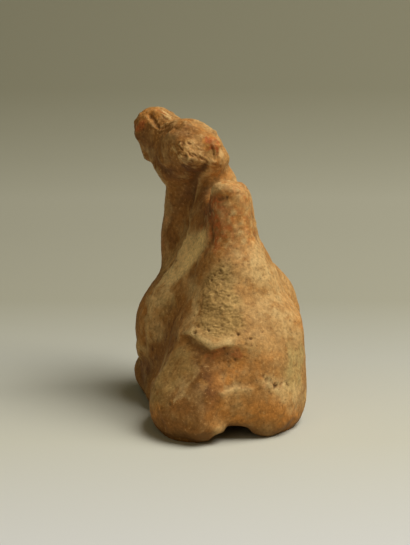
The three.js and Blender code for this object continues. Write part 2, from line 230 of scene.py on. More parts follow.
# Washes of each tint: the spots that one runs through, its reach in millimetres and its strength. Those that
# are painted light or shade are marked so above them.
WASHES = {
    "pale": (
        (CHALKY, 2.8, 0.6),
        # Painted light on the lit top of the ledge's lip.
        ([(192, 337), (200, 341), (211, 346), (224, 343)], 2.2, 0.4),
        ([(196, 292), (194, 306), (192, 326)], 2.4, 0.6),
        # Painted highlight along the foot's lit top edge, and painted light on the lit facet below it.
        ([(226, 390.5), (240, 388.5)], 1.2, 0.4),
        ([(230, 400), (255, 398), (275, 396)], 4.0, 0.12),
        ([(178, 399), (184, 388), (192, 376)], 0.8, 0.4),
        ([(174, 149), (179, 157), (187, 162)], 1.3, 0.6),
        # Painted highlight along the lit edge of the left flank.
        ([(150, 300), (147, 325), (148, 345)], 1.6, 0.5),
        ([(196, 362), (190, 376), (178, 388)], 2.4, 0.3),
        ([(262, 262), (275, 280), (278, 300)], 9.0, 0.55),
        ([(240, 262), (255, 280)], 6.0, 0.3),
        ([(262, 310), (266, 330), (264, 345)], 8.0, 0.35),
        # Painted highlight on the hump's lit cap.
        ([(212, 190), (219, 186), (229, 188)], 2.6, 0.4),
        ([(168, 276), (161, 290), (157, 310), (155, 335)], 3.5, 0.45),
        ([(193, 280), (189, 292)], 2.6, 0.4),
        ([(232, 212), (236, 225), (240, 240)], 2.2, 0.4),
        ([(168, 268), (164, 282), (162, 296)], 3.5, 0.6),
        ([(222, 148), (225, 154)], 1.4, 0.8),
        ([(178, 398), (186, 396), (188, 402)], 1.0, 0.5),
        ([(286, 402), (296, 404), (300, 396)], 4.0, 0.6),
        ([(288, 324), (292, 340)], 4.0, 0.5),
        # Painted highlight along the lit left edge of the neck.
        ([(166, 198), (165, 230), (164, 256)], 1.6, 0.35),
    ),
    "chalk": (
        # Painted highlight on the ledge's lit lip, and painted light down the lower strip.
        ([(191, 335), (197, 332)], 1.0, 0.5),
        ([(190, 246), (180, 260), (170, 272)], 4.0, 0.35),
        # Chalky clay over the right foot.
        ([(284, 390), (292, 388), (296, 394)], 2.6, 0.3),
    ),
    "orange": (
        ([(222, 376), (240, 376), (262, 372)], 4.0, 0.35),
        ([(240, 352), (250, 350), (262, 346)], 3.0, 0.4),
        ([(174, 149), (179, 157), (187, 162)], 1.5, 0.9),
        ([(150, 290), (142, 310), (140, 335)], 2.4, 0.5),
        ([(224, 196), (228, 198)], 1.8, 1.2),
        ([(230, 184), (238, 188), (246, 196)], 3.0, 0.5),
        ([(228, 205), (240, 222), (250, 245)], 5.0, 0.8),
        ([(216, 170), (222, 174), (232, 180)], 3.0, 1.2),
        ([(288, 298), (294, 311), (299, 322)], 3.2, 1.3),
        ([(142, 114), (150, 108), (160, 107)], 3.2, 1.2),
        ([(258, 358), (266, 360), (272, 357)], 2.2, 1.0),
        ([(246, 352), (238, 366), (230, 380)], 3.2, 0.8),
        ([(222, 412), (240, 412), (262, 410), (276, 408)], 5.0, 0.8),
        ([(284, 425), (292, 419), (297, 412)], 3.0, 2.0),
        ([(152, 404), (154, 412)], 1.8, 1.2),
        ([(208, 141), (210, 147), (216, 139), (220, 142)], 1.9, 2.5),
        ([(200, 123), (214, 131)], 2.4, 0.6),
        (CLEFT, 5.0, 0.4),
    ),
    "brown": (
        ([(291, 306), (294, 316)], 3.0, 0.4),
        # Painted shade on the hump's half that is turned from the light.
        ([(224, 202), (228, 220), (230, 240)], 4.5, 0.8),
        ([(186, 121), (200, 123)], 3.0, 0.8),
        # Painted shade on the haunch's shaded side by the cleft.
        ([(200, 365), (204, 390), (200, 420)], 5.0, 0.7),
        ([(258, 368), (254, 378)], 4.0, 0.4),
        # Painted shade low on the haunch, where it turns down by the floor.
        ([(160, 420), (200, 432), (210, 436)], 3.0, 0.7),
        # Painted shade under the brow.
        ([(176, 124), (200, 126), (205, 138)], 5.0, 0.9),
        ([(286, 302), (293, 316)], 4.0, 0.5),
    ),
    "dark": (
        # Painted shade on the web under the mane, under the brow, and down the hump's shaded left side.
        ([(206.5, 190), (206, 202), (205, 216)], 2.0, 0.6),
        (UNDER_BROW, 2.6, 0.35),
        ([(211, 200), (211, 214), (210, 228)], 1.6, 0.6),
        ([(209.5, 188), (209, 200), (209, 215)], 1.3, 0.7),
        # Darker along the crack.
        (CRACK, 0.6, 0.5),
        # Painted shade on the flank beside the haunch's edge.
        ([(166, 330), (160, 340), (156, 352), (149, 374)], 3.6, 0.25),
        ([(143, 360), (145, 380)], 3.0, 0.7),
        # Painted shade left of the mane, on the muzzle's left side, under the jaw, under the ear, and down
        # the neck, which lie in shade.
        ([(190, 176), (186, 190), (184, 205)], 4.5, 0.6),
        ([(138, 130), (142, 145), (150, 155)], 3.4, 0.6),
        ([(160, 166), (172, 173), (188, 170)], 3.5, 0.7),
        ([(184, 165), (196, 169), (206, 171)], 2.0, 1.0),
        ([(166, 176), (180, 176), (194, 176)], 3.0, 0.6),
        ([(168, 200), (167, 240)], 2.6, 0.7),
    ),
    "grey": (
        ([(168, 300), (162, 312)], 3.0, 0.4),
        ([(155, 395), (168, 376), (182, 362)], 6.0, 0.6),
        ([(296, 352), (294, 368), (290, 382)], 4.0, 0.9),
    ),
    "red": (
        ([(224, 206), (228, 220), (227, 236)], 1.6, 0.5),
        ([(209.5, 142), (211, 147), (214, 155)], 1.2, 2.2),
        ([(215, 139), (218, 144)], 0.9, 1.2),
        ([(213, 354), (228, 352), (238, 349)], 2.0, 0.6),
        # Red down the hump's shaded left side: partly the clay's reddish colour and partly painted shade.
        ([(215, 200), (217, 220), (216, 245)], 2.4, 0.4),
        ([(268, 382), (276, 384)], 1.4, 0.7),
        ([(141, 118), (138, 128)], 1.6, 0.9),
        ([(162, 108), (165, 112)], 1.0, 0.9),
        ([(163, 215), (163, 245)], 1.4, 0.6),
    ),
}
# The head's middle and its muzzle's, and the way that the muzzle points, in degrees from the figure's
# right. The mouth line's stops, the nostrils and the right eye lie at turns from that way.
HEAD_MIDDLE = np.array([-9.7, 26.9, 106.5])
MUZZLE_MIDDLE = np.array([-12.7, 38.4, 103.6])
MUZZLE_BEARING = 112
LIP_TURNS = (-84, -56, -28, 0, 28)
NOSTRIL_TURN = 38
EYE_TURN = -85
EYE_HALF = np.array([0.2, 0.9, -0.1])
EYE_ROUND = 2.4
# The lights: name, azimuth, elevation, distance and size in metres, and colour.
KEY_LIGHT = ("key", 67, 62, 1.4, 0.95, (1.0, 0.99, 0.97))
FILL_LIGHT = ("fill", -40, 30, 1.6, 1.2, (1.0, 0.90, 0.72))
# The paper under and behind the figure, and where along it its colour starts to change, in metres. The
# change is painted shade: a painted shadow under the figure, then darker and greener where the light falls
# off behind.
PAPER = {"half_width": 3.0, "near": 1.5, "far": 0.35, "radius": 0.9, "height": 2.5}
PAPER_CHANGES = -0.2


def view_axes():
    """The ways that the view looks, that its frame runs across, and that it runs up."""
    turn = np.radians(-VIEW_AZIMUTH)
    tilt = np.radians(VIEW_ELEVATION)
    ahead = np.array([np.sin(turn) * np.cos(tilt), np.cos(turn) * np.cos(tilt), -np.sin(tilt)])
    across = np.array([np.cos(turn), -np.sin(turn), 0.0])
    return ahead, across, np.cross(across, ahead)


AHEAD, ACROSS, UPWARD = view_axes()


class Scatter:
    """Smooth random values in space, the same on every run."""

    CELLS = 256
    # Takes the values to about -1 to 1.
    FULL = 1.6
    # How far apart in space the layers of each kind are taken, so that none repeats another.
    LUMPS_APART = 17.3
    CREASES_APART = 31.7
    MOVES_APART = 57.1

    def __init__(self, seed):
        draw = np.random.default_rng(seed)
        self.order = np.tile(draw.permutation(self.CELLS), 2)
        slopes = draw.normal(size=(self.CELLS, 3))
        self.slopes = slopes / np.linalg.norm(slopes, axis=1, keepdims=True)

    def at(self, points, size):
        """One layer of lumps of about that size, from about -1 to 1."""
        spots = points / size
        cell = np.floor(spots).astype(int)
        part = spots - cell
        ease = part * part * part * (part * (part * 6 - 15) + 10)
        total = np.zeros(len(points))
        for corner in np.ndindex(2, 2, 2):
            home = (cell + corner) % self.CELLS
            pick = self.order[self.order[self.order[home[:, 0]] + home[:, 1]] + home[:, 2]]
            weight = np.prod(np.where(np.array(corner) == 1, ease, 1 - ease), axis=1)
            total += weight * ((part - corner) * self.slopes[pick]).sum(1)
        return total * self.FULL

    def layered(self, points, size, layers=3):
        """Lumps with finer lumps on them, each layer half the size and half the height."""
        return sum(self.at(points + self.LUMPS_APART * n, size / 2**n) / 2**n for n in range(layers))

    def creased(self, points, size, layers=2):
        """Sharp-backed ridges with creases between them, from 0 to about 1."""
        total = np.zeros(len(points))
        for n in range(layers):
            lumps = self.at(points + self.CREASES_APART * n, size / 2**n)
            total += (1 - np.abs(lumps) * 2) / 2**n
        return total / 1.5

    def strayed(self, points, reach, size):
        """The points moved about, so that a shape worked out from them gets a wandering edge."""
        moves = [self.at(points + self.MOVES_APART * (axis + 1), size) for axis in range(3)]
        return points + reach * np.stack(moves, axis=1)

    def wander(self, points, size, first, second):
        """Two values a point, taken at two places apart, that move its spot in the view's frame about."""
        return np.stack([self.at(points + first, size), self.at(points + second, size)], axis=1)


def soft_step(values, low, high):
    """0 below low, 1 above high, and an eased rise between."""
    share = np.clip((values - low) / (high - low), 0, 1)
    return share * share * (3 - 2 * share)


def bell(values, width):
    """1 at nothing, falling off smoothly over about the width."""
    return np.exp(-((values / width) ** 2))


def off_line(points, stops):
    """How far the points are from a line through the stops, and the nearest places on it."""
    stops = np.array(stops, float)
    least = np.full(len(points), np.inf)
    nearest = np.zeros_like(points)
    for start, end in zip(stops[:-1], stops[1:]):
        run = end - start
        share = np.clip((points - start) @ run / (run @ run), 0, 1)
        place = start + share[:, None] * run
        gap = np.linalg.norm(points - place, axis=1)
        closer = gap < least
        least[closer] = gap[closer]
        nearest[closer] = place[closer]
    return least, nearest


def inside_outline(spots, corners):
    """How far inside a closed flat outline the spots are, and below nothing outside it."""
    least = np.full(len(spots), np.inf)
    within = np.zeros(len(spots), bool)
    corners = np.array(corners, float)
    for start, end in zip(corners, np.roll(corners, -1, axis=0)):
        run = end - start
        share = np.clip((spots - start) @ run / (run @ run), 0, 1)
        least = np.minimum(least, np.linalg.norm(spots - start - share[:, None] * run, axis=1))
        level = (start[1] > spots[:, 1]) != (end[1] > spots[:, 1])
        meets = start[0] + (spots[:, 1] - start[1]) * run[0] / (run[1] if run[1] else 1e-9)
        within ^= level & (spots[:, 0] < meets)
    return np.where(within, least, -least)


class Skin:
    """The figure's surface while it is worked: its points in millimetres, and its tints."""

    # The view's frame is looked over in squares of this many pixels, and a point is in sight if it lies
    # no more than this many millimetres behind the nearest one of its square.
    SQUARE = 3
    BEHIND = 6

    def __init__(self, mesh):
        self.mesh = mesh
        count = len(mesh.vertices)
        points = np.empty(count * 3, np.float32)
        mesh.vertices.foreach_get("co", points)
        self.points = points.reshape(-1, 3).astype(float) / MM
        edges = np.empty(len(mesh.edges) * 2, np.int32)
        mesh.edges.foreach_get("vertices", edges)
        self.edges = edges.reshape(-1, 2)
        mesh.calc_loop_triangles()
        corners = np.empty(len(mesh.loop_triangles) * 3, np.int32)
        mesh.loop_triangles.foreach_get("vertices", corners)
        self.faces = corners.reshape(-1, 3)
        self.degree = np.bincount(self.edges.ravel(), minlength=count).astype(float)
        first, second = self.edges.T
        self.step = np.linalg.norm(self.points[first] - self.points[second], axis=1).mean()
        self.rise = np.zeros(count)
        self.tints = {}
        self.look()

    def look(self):
        """Works out which way the skin faces, and where and whether the view sees each point."""
        a, b, c = (self.points[self.faces[:, n]] for n in range(3))
        flat = np.cross(b - a, c - a)
        facing = np.zeros_like(self.points)
        for n in range(3):
            for axis in range(3):
                facing[:, axis] += np.bincount(self.faces[:, n], flat[:, axis], len(facing))
        self.facing = facing / np.maximum(np.linalg.norm(facing, axis=1, keepdims=True), 1e-12)
        offset = self.points - (np.array(VIEW_TARGET) - VIEW_DISTANCE * AHEAD)
        self.depth = offset @ AHEAD
        scale = FOCAL_PIXELS / self.depth
        self.spots = np.stack(
            [FRAME_WIDTH / 2 + offset @ ACROSS * scale, FRAME_HEIGHT / 2 - offset @ UPWARD * scale], axis=1
        )
        toward = -(self.facing * offset).sum(1) / np.linalg.norm(offset, axis=1)
        cell = (self.spots / self.SQUARE).astype(int)
        nearest = np.full((FRAME_WIDTH, FRAME_HEIGHT), np.inf)
        np.minimum.at(nearest, (cell[:, 0], cell[:, 1]), np.where(toward > 0, self.depth, np.inf))
        clear = self.depth < nearest[cell[:, 0], cell[:, 1]] + self.BEHIND
        self.seen = self.evened(soft_step(toward, -0.1, 0.25) * clear, 1.6)
        self.toward = toward

    def place(self, spot):
        """The point of the skin that the view sees at a spot of its frame."""
        gap = np.where(self.toward > 0, np.linalg.norm(self.spots - spot, axis=1), np.inf)
        near = np.where(gap < max(3.2, gap.min() + 2))[0]
        near = near[self.depth[near] < self.depth[near].min() + 2.5]
        weight = bell(gap[near] - gap[near].min(), 1.2)
        return weight @ self.points[near] / weight.sum()

    def places(self, spots):
        """The points of the skin that the view sees at several spots."""
        return [self.place(spot) for spot in spots]

    def evened(self, values, reach, share=0.6):
        """Values spread over their neighbours as far as the reach, in millimetres."""
        rounds = max(1, round(reach**2 / (share * self.step**2 / 2)))
        flat = values.ndim == 1
        values = values.reshape(len(values), -1).copy()
        first, second = self.edges.T
        count = len(values)
        for _ in range(rounds):
            for axis in range(values.shape[1]):
                column = values[:, axis]
                total = np.bincount(first, column[second], count)
                total += np.bincount(second, column[first], count)
                values[:, axis] = column + share * (total / self.degree - column)
        return values[:, 0] if flat else values

    def round_off(self, reach, keep):
        """Takes the facets off and gives back the broad form that the rounding took with them."""
        flat = self.points[:, 2] < ON_FLOOR
        once = 0.8 * reach
        crisp = self.evened(self.points, once)
        rounded = self.evened(crisp, once)
        rounded += self.evened(self.points - rounded, keep)
        crisp += self.evened(self.points - crisp, keep)
        head = soft_step(self.points[:, 2], *CRISP_ABOVE) * soft_step(self.points[:, 1], *PAST_HUMP)
        self.points = rounded + head[:, None] * (crisp - rounded)
        self.points[:, 2] = np.maximum(self.points[:, 2], 0)
        self.points[flat, 2] = 0

    def carve(self):
        """Moves each point along the way that it faces by the rise gathered so far."""
        low = 1 - soft_step(self.points[:, 2], *RIM_BELOW)
        resting = low * soft_step(-self.facing[:, 2], 0.3, 0.8)
        self.points += self.facing * (self.rise * (1 - resting))[:, None]
        self.points[:, 2] = np.maximum(self.points[:, 2], 0)

    def tint(self, name, amount):
        """Adds to a named tint, which stays between 0 and 1."""
        self.tints[name] = np.clip(self.tints.get(name, 0) + amount, 0, 1)

    def set_points(self):
        """Writes the worked points into the mesh."""
        self.mesh.vertices.foreach_set("co", (self.points * MM).astype(np.float32).ravel())
        self.mesh.update()

    def set_tints(self):
        """Writes the tints into the mesh."""
        for name, amount in self.tints.items():
            layer = self.mesh.attributes.new(name, "FLOAT", "POINT")
            layer.data.foreach_set("value", amount.astype(np.float32))


def split_fine_places(skin):
    """Halves the faces where the view sees the most broken clay, so that it can carry fine relief."""
    across, down = skin.spots.T
    left, top, right, bottom = LEDGE_PATCH
    fine = inside_outline(skin.spots, RUMP_BREAK) > -FINE_MARGIN
    fine |= down < HEAD_ROW
    fine |= (down > top) & (down < bottom) & (across > left) & (across < right)
    fine &= skin.seen > BARELY_SEEN
    form = bmesh.new()
    form.from_mesh(skin.mesh)
    form.verts.ensure_lookup_table()
    edges = [edge for edge in form.edges if fine[edge.verts[0].index] and fine[edge.verts[1].index]]
    bmesh.ops.subdivide_edges(form, edges=edges, cuts=1, use_grid_fill=True)
    form.to_mesh(skin.mesh)
    form.free()
    return Skin(skin.mesh)


def skin_point(skin, middle, degrees, rise):
    """The outermost point of the skin from a middle on a bearing, within a thin rod of that way."""
    rod_radius = 1.2
    rod_length = 30
    angle = np.radians(degrees)
    way = np.array([np.cos(angle), np.sin(angle), rise])
    way /= np.linalg.norm(way)
    offset = skin.points - middle
    along = offset @ way
    aside = np.linalg.norm(offset - along[:, None] * way, axis=1)
    near = np.where((aside < rod_radius) & (along > 0) & (along < rod_length))[0]
    return skin.points[near[along[near].argmax()]]


def shift_places(skin):
    """Moves places of the skin across the view or toward it, to where the worn form has them."""
    near_way = -AHEAD * (1, 1, 0)
    near_way /= np.linalg.norm(near_way)
    flat = skin.points[:, 2] < ON_FLOOR
    middles = skin.places([shift[:2] for shift in SHIFTS])
    moves = np.zeros_like(skin.points)
    for middle, (_, _, right, down, near, reach) in zip(middles, SHIFTS):
        share = bell(np.linalg.norm(skin.points - middle, axis=1), reach)
        moves += share[:, None] * (PIXEL * (right * ACROSS - down * UPWARD) + near * near_way)
    skin.points += moves
    skin.points[flat, 2] = 0


def fill_valley(skin):
    """Fills the valley between the nape and the hump without taking anything off their edges."""
    broad = skin.evened(skin.points, VALLEY_SPREAD)
    lift = np.maximum(0, ((broad - skin.points) * skin.facing).sum(1))
    share = 1 - soft_step(off_line(skin.points, skin.places(VALLEY))[0], *VALLEY_SIDES)
    skin.points += skin.facing * (lift * share)[:, None]


def work_body(skin, scatter):
    """The hand-worked clay all over: broad scraped planes, dents, weathering and fine grain."""
    points = skin.points
    past_hump = soft_step(points[:, 1], *PAST_HUMP)
    head = soft_step(points[:, 2], *HEAD_ABOVE) * past_hump
    high = soft_step(points[:, 2], *HUMP_ABOVE)
    column = high * (1 - past_hump)
    skin.rise += 0.30 * scatter.layered(points, 13)
    skin.rise += 0.32 * (1 - head) * (scatter.creased(points, 15, 1) - 0.6)
    skin.rise += 0.67 * head * (scatter.creased(points, 10, 1) - 0.6)
    skin.rise += (0.15 + 0.22 * head) * scatter.layered(points, 4.2)
    skin.rise += (0.03 + 0.05 * head) * scatter.layered(points, 1.7, 2)
    for spots, width, height in SWELLINGS:
        skin.rise += height * bell(off_line(points, skin.places(spots))[0], width)
    skin.rise += 0.10 * high * scatter.layered(points + 15, 1.8, 2)
    skin.rise += 0.14 * column * scatter.layered(points * (1, 1, 0.35), 2.4, 2)
    skin.rise += 0.28 * column * scatter.layered(points + 3, 3.2, 2)
    mottle = scatter.layered(points + 8, 2.3, 3)
    skin.tint("pale", 0.4 * column * soft_step(mottle, 0.1, 0.6))
    skin.tint("red", 0.4 * column * soft_step(-mottle, 0.0, 0.5))


def break_rump(skin, scatter):
    """The broken rump: greyer, and covered with fine wavy wrinkles that run across it."""
    wander = scatter.wander(skin.points, 5, 9, 63)
    depth = inside_outline(skin.spots + 4 * wander, RUMP_BREAK) * PIXEL
    rough = soft_step(depth, -0.8, 3.5) * skin.seen
    waved = scatter.strayed(skin.points, 1.2, 2.6) * (0.4, 0.4, 1)
    rows = skin.points[:, 2] / 1.5 + 1.5 * scatter.at(skin.points, 6) + 0.7 * scatter.at(skin.points, 2.2)
    wrinkled = 0.5 * scatter.creased(waved, 1.5, 1) + 0.5 * (0.5 + 0.5 * np.sin(2 * np.pi * rows))
    strong = 0.35 + 0.65 * soft_step(scatter.layered(skin.points + 40, 6, 2), -0.35, 0.35)
    skin.rise += rough * (0.30 * scatter.layered(skin.points, 6, 2) + 0.42 * strong * (wrinkled - 0.6))
    skin.rise += rough * 0.16 * scatter.layered(skin.points, 1.5, 2)
    skin.tint("pale", 0.15 * soft_step(depth, -2.0, 1.0) * skin.seen)
    skin.tint("grey", 0.55 * rough)
    skin.tint("rough", rough)
    # Dirt and painted shade in the creases of the strongest wrinkles.
    skin.tint("dirt", 0.35 * rough * strong * soft_step(0.5 - wrinkled, 0, 0.35))


def set_edges(skin, scatter):
    """Edges where one plane stands proud of the next."""
    loose = scatter.strayed(skin.points, 0.5, 3.5)
    # The way that the proud side lies, how far the edge reaches, how far one side is proud and the
    # other sunk, and over how much the step between them is softened, in millimetres.
    for spots, way, reach, proud, sunk, soft in (
        (LEDGE, UPWARD, 3.6, 0.4, 1.0, 0.8),
        (HAUNCH_EDGE, ACROSS, 5.5, 0.3, 1.2, 1.0),
        (STRIP_EDGE, -ACROSS, 4.0, 0.6, 0.8, 0.5),
        (NECK_EDGE, ACROSS, 4.0, 0.1, 1.6, 0.6),
        (FLANK_EDGE, ACROSS, 3.0, 0.3, 0.4, 0.6),
        (MANE_EDGE, ACROSS, 3.5, 0.1, 1.3, 0.9),
        (FOOT_EDGE, -UPWARD, 2.6, 0.5, 0.4, 0.6),
    ):
        gap, nearest = off_line(loose, skin.places(spots))
        side = (loose - nearest) @ way
        level = soft_step(side, -soft, soft) * (proud + sunk) - sunk
        skin.rise += bell(gap, reach) * level


def cut_lines(skin, scatter):
    """Grooves and ridges that the maker drew, or that wear has left."""
    loose = scatter.strayed(skin.points, 0.5, 3)
    uneven = 0.8 + 0.5 * scatter.at(skin.points, 4)
    # Each line with its width and height in millimetres.
    for spots, width, height in (
        (BELLY_LINE, 1.0, -0.45),
        (BROW, 1.0, 0.7),
        (UNDER_BROW, 1.6, -0.9),
        (NAPE_LINE, 0.8, -0.5),
        (UNDER_EAR, 1.2, -0.5),
        (RIGHT_EAR, 0.5, -0.9),
        (RIGHT_EAR_EDGE, 0.8, 0.5),
        (GASH_RIM, 0.6, 0.35),
        (CHIN, 0.9, 0.4),
        (THROAT, 1.8, -0.6),
        (HUMP_TOP, 1.5, 0.5),
        (UNDER_CAP, 1.4, -0.7),
        (CRACK, 0.5, -0.45),
    ):
        skin.rise += height * uneven * bell(off_line(loose, skin.places(spots))[0], width)
    wander = scatter.wander(skin.points, 2, 13, 53)
    sunk = soft_step(inside_outline(skin.spots + 1.2 * wander, GASH) * PIXEL, -0.2, 0.9) * skin.seen
    skin.rise -= sunk * (0.5 + 0.25 * scatter.creased(skin.points * (1, 1, 0.5), 0.9, 1))
    # Dirt and painted shade in the gash.
    skin.tint("dirt", 0.35 * sunk)
    rough = soft_step(inside_outline(skin.spots + 2 * wander, CRACKED) * PIXEL, -0.6, 0.8) * skin.seen
    broken = scatter.creased(skin.points, 2.6, 2)
    skin.rise += rough * 0.6 * (broken - 0.62)
    # Dirt and painted shade in the creases of the cracked place; its ridges are paler, chalky clay.
    skin.tint("dirt", 0.6 * rough * soft_step(0.40 - broken, 0, 0.25))
    skin.tint("pale", 0.5 * rough * soft_step(broken, 0.45, 0.75))


def break_head(skin, scatter):
    """The broken ears, ridged down to the right, and the broken top of the muzzle."""
    wander = scatter.wander(skin.points, 3, 29, 83)
    along = skin.spots @ (0.8, 0.6)
    aside = skin.spots @ (-0.6, 0.8)
    streaks = np.stack([0.25 * along, aside + 2.0 * wander[:, 0], 0 * along], axis=1) * PIXEL
    ridged = 0.8 * (scatter.creased(streaks, 1.25, 2) - 0.5) + 0.3 * scatter.layered(skin.points, 1.9, 2)
    for corners, height, pale in ((EAR_BREAK, 0.7, 0.2), (MUZZLE_BREAK, 0.6, 0.7)):
        depth = inside_outline(skin.spots + 2.5 * wander, corners) * PIXEL
        rough = soft_step(depth, -0.5, 0.9) * skin.seen
        skin.rise += rough * (height * ridged + 0.2)
        # The ridges are paler, the broken clay's own colour; the creases between them are painted shade.
        skin.tint("pale", pale * rough * soft_step(ridged, -0.1, 0.25))
        skin.tint("dark", 0.5 * rough * soft_step(-ridged, 0, 0.3))


def draw_face(skin):
    """The mouth line, the nostrils and a small lidded eye."""
    lips = [
        skin_point(skin, MUZZLE_MIDDLE, MUZZLE_BEARING + turn, -0.02 - 0.001 * abs(turn))
        for turn in LIP_TURNS
    ]
    skin.rise -= 0.8 * bell(off_line(skin.points, lips)[0], 0.9)
    for side in (-1, 1):
        bearing = MUZZLE_BEARING + NOSTRIL_TURN * side
        nostril = skin_point(skin, MUZZLE_MIDDLE + (-1, 2.5, 3.4), bearing, 0.42)
        slit = off_line(skin.points, [nostril, nostril + (0, -1.4, 1.2)])[0]
        skin.rise -= 1.0 * bell(slit, 1.0)
    eye = skin_point(skin, HEAD_MIDDLE, MUZZLE_BEARING + EYE_TURN, 0.1)
    gap = off_line(skin.points, [eye + EYE_HALF, eye - EYE_HALF])[0]
    skin.rise += 0.7 * bell(gap, 1.3) - 0.7 * bell(gap - EYE_ROUND, 0.8)


def pit(skin, scatter):
    """Pits and lost grit, each with a ragged edge."""
    draw = np.random.default_rng(PIT_SEED)
    loose = scatter.strayed(skin.points, 0.45, 0.9)
    chance = 0.25 + 0.5 * skin.tints["rough"] + bell(off_line(skin.points, skin.places(CHALKY))[0], 5)
    spots = draw.choice(len(skin.points), PIT_COUNT, replace=False, p=chance / chance.sum())
    centres = [(skin.points[spot], draw.uniform(*PIT_WIDTHS), draw.uniform(*PIT_DEPTHS)) for spot in spots]
    centres += [(skin.place((across, down)), width, depth) for across, down, width, depth in PITS]
    holes = np.zeros(len(skin.points))
    for centre, width, depth in centres:
        near = np.where(np.abs(loose - centre).max(1) < 3 * width)[0]
        gap = np.linalg.norm(loose[near] - centre, axis=1)
        holes[near] = np.maximum(holes[near], depth * bell(gap, width))
    skin.rise -= holes
    # The pits are darkened by their depth: dirt in them and painted shade.
    skin.tint("dirt", 1.1 * holes)


def colour_places(skin, scatter):
    """Where the clay is pale, grey, orange, red or dark, and where painted light and shade lie on it."""
    wander = scatter.wander(skin.points, 6, 11, 47)
    finer = scatter.wander(skin.points, 2, 71, 23)
    loose = skin.spots + 7 * wander + 2.5 * finer
    cloud = 0.75 + 0.5 * scatter.layered(skin.points, 5)
    # The plane that a tint fills, the width of its edge in pixels, and its strength.
    for name, corners, edge, amount in (
        # The strip: pale clay with painted light, and its lit edge a painted highlight.
        ("pale", STRIP_PLANE, 4.0, 0.8),
        ("chalk", STRIP_LIT, 2.5, 0.8),
        # Painted shade on the mane's plane, and on the hump's shaded side over its reddish clay.
        ("dark", MANE_PLANE, 5.0, 0.45),
        ("red", HUMP_SIDE, 6.0, 0.6),
        # Painted shade on the flank.
        ("dark", FLANK_SHADE, 9.0, 0.1),
        # The greyish olive clay.
        ("grey", OLIVE, 4.0, 0.35),
        # Painted shade under the ledge.
        ("brown", UNDER_LEDGE, 6.0, 1.0),
        ("dark", UNDER_LEDGE, 9.0, 0.8),
        # Painted light on the foot's lit facet.
        ("orange", FOOT_LIT, 5.0, 0.4),
        # Painted shade low on the haunch and on the shaded head.
        ("brown", HAUNCH_LOW, 9.0, 1.0),
        ("dark", HAUNCH_LOW, 12.0, 0.4),
        ("brown", HEAD_SHADE, 7.0, 0.9),
        ("dark", HEAD_SHADE, 9.0, 0.25),
    ):
        depth = inside_outline(skin.spots + 0.6 * edge * wander + 0.7 * finer, corners)
        skin.tint(name, amount * soft_step(depth, -edge, edge) * skin.seen)
    # Dark specks over the shaded flank, painted shade.
    shaded = soft_step(inside_outline(skin.spots, FLANK_SHADE), -6, 6) * skin.seen
    specks = soft_step(scatter.layered(skin.points * (1, 1, 0.6), 2.2, 3), 0.1, 0.6)
    skin.tint("dark", 0.8 * shaded * specks)
    skin.tint("brown", 0.3 * soft_step(skin.spots[:, 1], *BROWNER_ROWS) * skin.seen)
    # Painted shade: the faces turned to the view's left, away from the key light, made browner.
    skin.tint("brown", soft_step(-skin.facing @ ACROSS, -0.1, 0.7))
    hidden = 1 - 0.6 * skin.seen
    skin.tint("pale", 0.5 * hidden * soft_step(scatter.layered(skin.points + 5, 11), 0.15, 0.6))
    skin.tint("orange", 0.5 * hidden * soft_step(scatter.layered(skin.points + 91, 12), 0.1, 0.6))
    # Painted shade inside the hollow underside: faces that look down, low in the figure, take the dirt
    # colour.
    inside = soft_step(-skin.facing[:, 2], 0.2, 0.6) * soft_step(skin.points[:, 2], 0.3, 1.5)
    skin.tint("dirt", 0.9 * inside * (skin.points[:, 2] < HOLLOW_TOP))
    for name, rows in WASHES.items():
        for spots, reach, amount in rows:
            gap = off_line(loose, spots)[0] * PIXEL
            spread = 1 - soft_step(gap, 0.3 * reach, 1.4 * reach)
            skin.tint(name, amount * cloud * skin.seen * spread)
    crisp = skin.spots + 0.8 * finer
    # Painted light and shade along edges: pale on the lit top of the ledge and just below the foot's lit top
    # edge, dark on the shaded side of the neck, haunch and mane edges.
    # The side of the edge that the tint lies on, across and down the frame, and its reach in pixels.
    for name, spots, way, reach, amount in (
        ("pale", LEDGE, (0, -1), 7, 0.7),
        ("dark", NECK_EDGE, (-1, 0), 10, 0.4),
        ("dark", HAUNCH_EDGE, (-1, 0), 12, 0.35),
        ("dark", MANE_EDGE, (-1, 0), 10, 0.6),
        ("pale", FOOT_EDGE, (0, 1), 4, 0.4),
    ):
        gap, nearest = off_line(crisp, spots)
        side = soft_step((crisp - nearest) @ way, -0.5, 1.5)
        skin.tint(name, amount * side * bell(gap, reach) * skin.seen)


def find_hollows(skin):
    """Marks dirt and painted shade where the relief is low for its surroundings, and wear where it is high.
    """
    lift = skin.rise - skin.evened(skin.rise, 1.8)
    skin.tint("dirt", 0.8 * soft_step(-lift, 0.08, 0.6))
    skin.tint("worn", soft_step(lift, 0.04, 0.4))


class Wire:
    """A socket of the material being made. Sums written on it add Math nodes."""

    def __init__(self, recipe, socket):
        self.recipe = recipe
        self.socket = socket

    def sum(self, operation, first, second):
        return self.recipe.node("ShaderNodeMath", {"operation": operation}, {0: first, 1: second})

    def __add__(self, other):
        return self.sum("ADD", self, other)

    def __sub__(self, other):
        return self.sum("SUBTRACT", self, other)

    def __mul__(self, other):
        return self.sum("MULTIPLY", self, other)

    def __rsub__(self, other):
        return self.sum("SUBTRACT", other, self)

    __radd__ = __add__
    __rmul__ = __mul__


